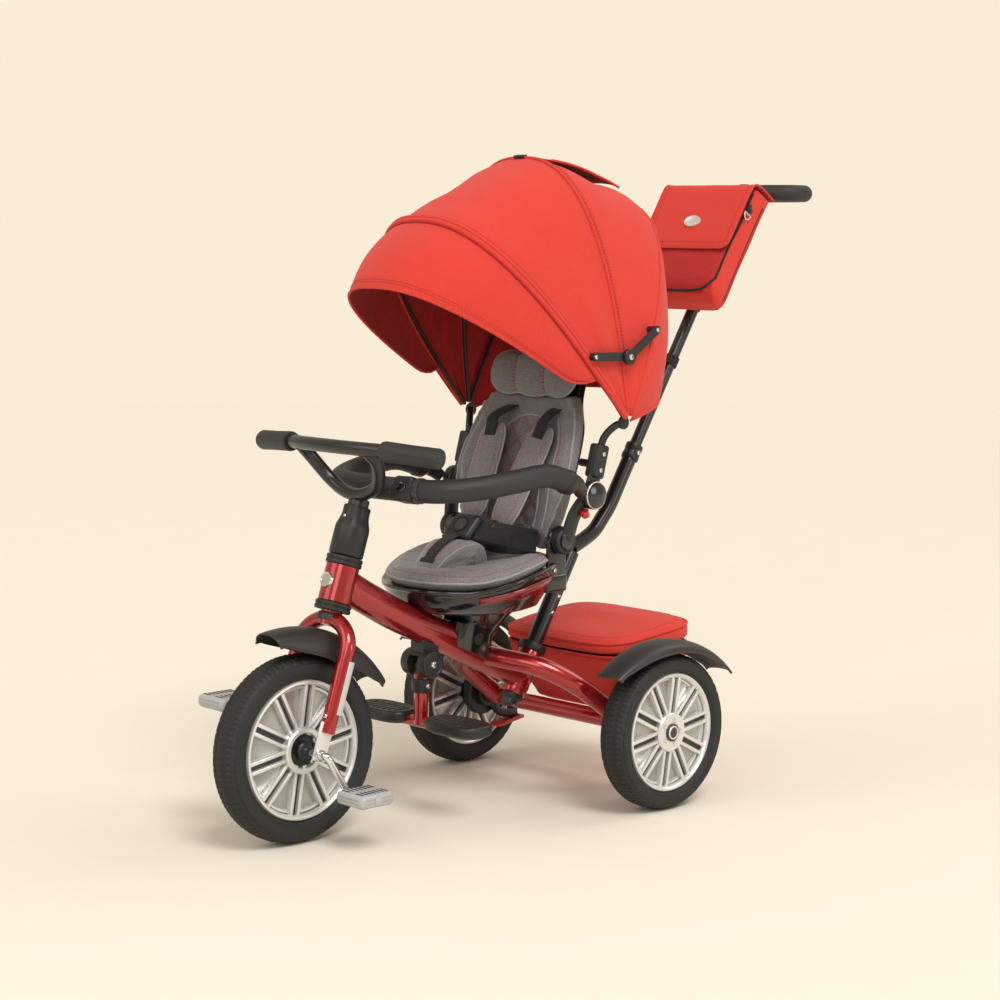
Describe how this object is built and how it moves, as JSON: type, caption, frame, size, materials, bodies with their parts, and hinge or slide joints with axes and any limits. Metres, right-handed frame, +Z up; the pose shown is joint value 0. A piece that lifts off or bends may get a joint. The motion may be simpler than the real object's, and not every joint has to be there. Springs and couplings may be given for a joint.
{
  "type": "children's tricycle",
  "caption": "Push-along children's tricycle with parent handle, hooded padded seat, safety ring, footrest, rear basket and pedals on the front wheel.",
  "frame": {"origin": "on the floor under the centre of the whole tricycle's footprint", "axes": "+Z up, +Y towards the push handle at the back (front wheel at -Y), +X to the rider's left; x = 0 is the middle plane"},
  "size_m": [0.55, 1.316, 1.0678],
  "materials": {
    "paint_red": "gloss metallic",
    "paint_black": "satin",
    "plastic_black": "satin",
    "plastic_dark_grey": "satin",
    "plastic_gloss_black": "gloss",
    "steel": "polished",
    "alloy": "silver paint",
    "tyre_rubber": "matte",
    "foam": "matte foam",
    "pedal_grey": "satin",
    "grey_cloth": "heathered weave",
    "red_cloth": "woven",
    "release_red": "gloss"
  },
  "bodies": {
    "frame": {"frame": "paint_red", "headset_ring_lower": "plastic_black", "headset_ring_upper": "plastic_black", "rear_axle": "steel", "seat_pedestal": "plastic_gloss_black", "seat_shell": "plastic_gloss_black", "seat_pad": "grey_cloth", "push_post": "paint_black", "push_tube_lower": "paint_black", "push_clamp": "plastic_black", "basket": "red_cloth", "rear_fender_left": "plastic_dark_grey", "rear_fender_right": "plastic_dark_grey", "brake_housing_left": "plastic_black", "brake_housing_right": "plastic_black", "footrest_hinge": "plastic_black"},
    "steering": {"fork": "paint_red", "steering_sleeve": "plastic_black", "handlebar": "paint_black", "grip_left": "foam", "grip_right": "foam", "front_fender": "plastic_dark_grey"},
    "front_wheel": {"front_tyre": "tyre_rubber", "front_rim": "alloy", "crank": "steel"},
    "pedal_left": {"pedal_left": "pedal_grey"},
    "pedal_right": {"pedal_right": "pedal_grey"},
    "rear_wheel_left": {"rear_tyre_left": "tyre_rubber", "rear_rim_left": "alloy"},
    "rear_wheel_right": {"rear_tyre_right": "tyre_rubber", "rear_rim_right": "alloy"},
    "footrest": {"footrest_arm": "paint_red", "foot_pad_left": "plastic_black", "foot_pad_right": "plastic_black"},
    "brake_lever_left": {"brake_lever_left": "plastic_black"},
    "brake_lever_right": {"brake_lever_right": "plastic_black"},
    "backrest": {"backrest_shell": "plastic_black", "backrest_pad": "grey_cloth", "head_pillow": "grey_cloth", "shoulder_pad_left": "grey_cloth", "shoulder_pad_right": "grey_cloth", "seat_arm_left": "plastic_black", "seat_arm_right": "plastic_black", "ring_right": "foam", "canopy_rear": "red_cloth", "canopy_panel": "red_cloth"},
    "canopy_front": {"canopy_visor": "red_cloth"},
    "stretcher_front_left": {"stretcher_front_left": "plastic_black"},
    "stretcher_front_right": {"stretcher_front_right": "plastic_black"},
    "stretcher_rear_left": {"stretcher_rear_left": "plastic_black"},
    "stretcher_rear_right": {"stretcher_rear_right": "plastic_black"},
    "ring_left": {"ring_left": "foam"},
    "ring_button": {"ring_button": "plastic_gloss_black"},
    "ring_release_left": {"ring_release_left": "release_red"},
    "ring_release_right": {"ring_release_right": "release_red"},
    "push_upper": {"push_tube_upper": "paint_black", "handle_grip": "foam", "handle_bag": "red_cloth"},
    "bag_flap": {"bag_flap": "red_cloth"},
    "basket_lid": {"basket_lid": "red_cloth"}
  },
  "joints": [
    {"name": "steering_turn", "type": "hinge", "parent": "frame", "child": "steering", "pos_m": [0, -0.5045, 0.148], "axis": [0, 0.3156, 0.9489], "range_deg": [-18, 18]},
    {"name": "front_wheel_spin", "type": "hinge", "parent": "steering", "child": "front_wheel", "pos_m": [0, -0.5105, 0.148], "axis": [1, 0, 0], "continuous": true},
    {"name": "pedal_left_spin", "type": "hinge", "parent": "front_wheel", "child": "pedal_left", "pos_m": [0.12, -0.46965, 0.0851], "axis": [1, 0, 0], "continuous": true},
    {"name": "pedal_right_spin", "type": "hinge", "parent": "front_wheel", "child": "pedal_right", "pos_m": [-0.12, -0.55135, 0.2109], "axis": [1, 0, 0], "continuous": true},
    {"name": "rear_wheel_left_spin", "type": "hinge", "parent": "frame", "child": "rear_wheel_left", "pos_m": [0.239, 0.076, 0.13], "axis": [1, 0, 0], "continuous": true},
    {"name": "rear_wheel_right_spin", "type": "hinge", "parent": "frame", "child": "rear_wheel_right", "pos_m": [-0.239, 0.076, 0.13], "axis": [1, 0, 0], "continuous": true},
    {"name": "footrest_fold", "type": "hinge", "parent": "frame", "child": "footrest", "pos_m": [0, -0.244, 0.25], "axis": [1, 0, 0], "range_deg": [0, 60]},
    {"name": "brake_left_press", "type": "hinge", "parent": "frame", "child": "brake_lever_left", "pos_m": [0.176, 0.076, 0.13], "axis": [1, 0, 0], "range_deg": [-20, 0]},
    {"name": "brake_right_press", "type": "hinge", "parent": "frame", "child": "brake_lever_right", "pos_m": [-0.176, 0.076, 0.13], "axis": [1, 0, 0], "range_deg": [-20, 0]},
    {"name": "backrest_recline", "type": "hinge", "parent": "frame", "child": "backrest", "pos_m": [0, -0.054, 0.447], "axis": [1, 0, 0], "range_deg": [-10, 0]},
    {"name": "canopy_fold", "type": "hinge", "parent": "backrest", "child": "canopy_front", "pos_m": [0, 0.034, 0.639], "axis": [1, 0, 0], "range_deg": [-33, 0], "deforming": ["canopy_panel"]},
    {"name": "stretcher_front_left_turn", "type": "hinge", "parent": "canopy_front", "child": "stretcher_front_left", "pos_m": [0.20175, -0.056, 0.75], "axis": [1, 0, 0], "range_deg": [-23, 0]},
    {"name": "stretcher_rear_left_turn", "type": "hinge", "parent": "backrest", "child": "stretcher_rear_left", "pos_m": [0.20575, 0.085, 0.79], "axis": [1, 0, 0], "range_deg": [0, 40]},
    {"name": "stretcher_front_right_turn", "type": "hinge", "parent": "canopy_front", "child": "stretcher_front_right", "pos_m": [-0.20175, -0.056, 0.75], "axis": [1, 0, 0], "range_deg": [-23, 0]},
    {"name": "stretcher_rear_right_turn", "type": "hinge", "parent": "backrest", "child": "stretcher_rear_right", "pos_m": [-0.20575, 0.085, 0.79], "axis": [1, 0, 0], "range_deg": [0, 40]},
    {"name": "ring_left_open", "type": "hinge", "parent": "backrest", "child": "ring_left", "pos_m": [0.168, -0.052, 0.53], "axis": [0, 0, 1], "range_deg": [0, 75]},
    {"name": "ring_button_press", "type": "slide", "parent": "ring_left", "child": "ring_button", "axis": [-0.2217, 0.9271, -0.3023], "range_m": [0, 0.003], "stiffness_N_per_m": 800},
    {"name": "ring_release_left_press", "type": "slide", "parent": "backrest", "child": "ring_release_left", "axis": [0, 0, 1], "range_m": [0, 0.004], "stiffness_N_per_m": 800},
    {"name": "ring_release_right_press", "type": "slide", "parent": "backrest", "child": "ring_release_right", "axis": [0, 0, 1], "range_m": [0, 0.004], "stiffness_N_per_m": 800},
    {"name": "push_handle_slide", "type": "slide", "parent": "frame", "child": "push_upper", "axis": [0, 0.5327, 0.8463], "range_m": [-0.06, 0]},
    {"name": "bag_flap_lift", "type": "hinge", "parent": "push_upper", "child": "bag_flap", "pos_m": [0, 0.49922, 0.99274], "axis": [1, 0, 0], "range_deg": [-80, 0]},
    {"name": "basket_lid_lift", "type": "hinge", "parent": "frame", "child": "basket_lid", "pos_m": [0, 0.062, 0.262], "axis": [1, 0, 0], "range_deg": [0, 40]}
  ],
  "couplings": [
    {"joint": "stretcher_front_left_turn", "follows": "canopy_fold", "ratio": 0.672},
    {"joint": "stretcher_rear_left_turn", "follows": "canopy_fold", "ratio": -1.188},
    {"joint": "stretcher_front_right_turn", "follows": "canopy_fold", "ratio": 0.672},
    {"joint": "stretcher_rear_right_turn", "follows": "canopy_fold", "ratio": -1.188}
  ]
}
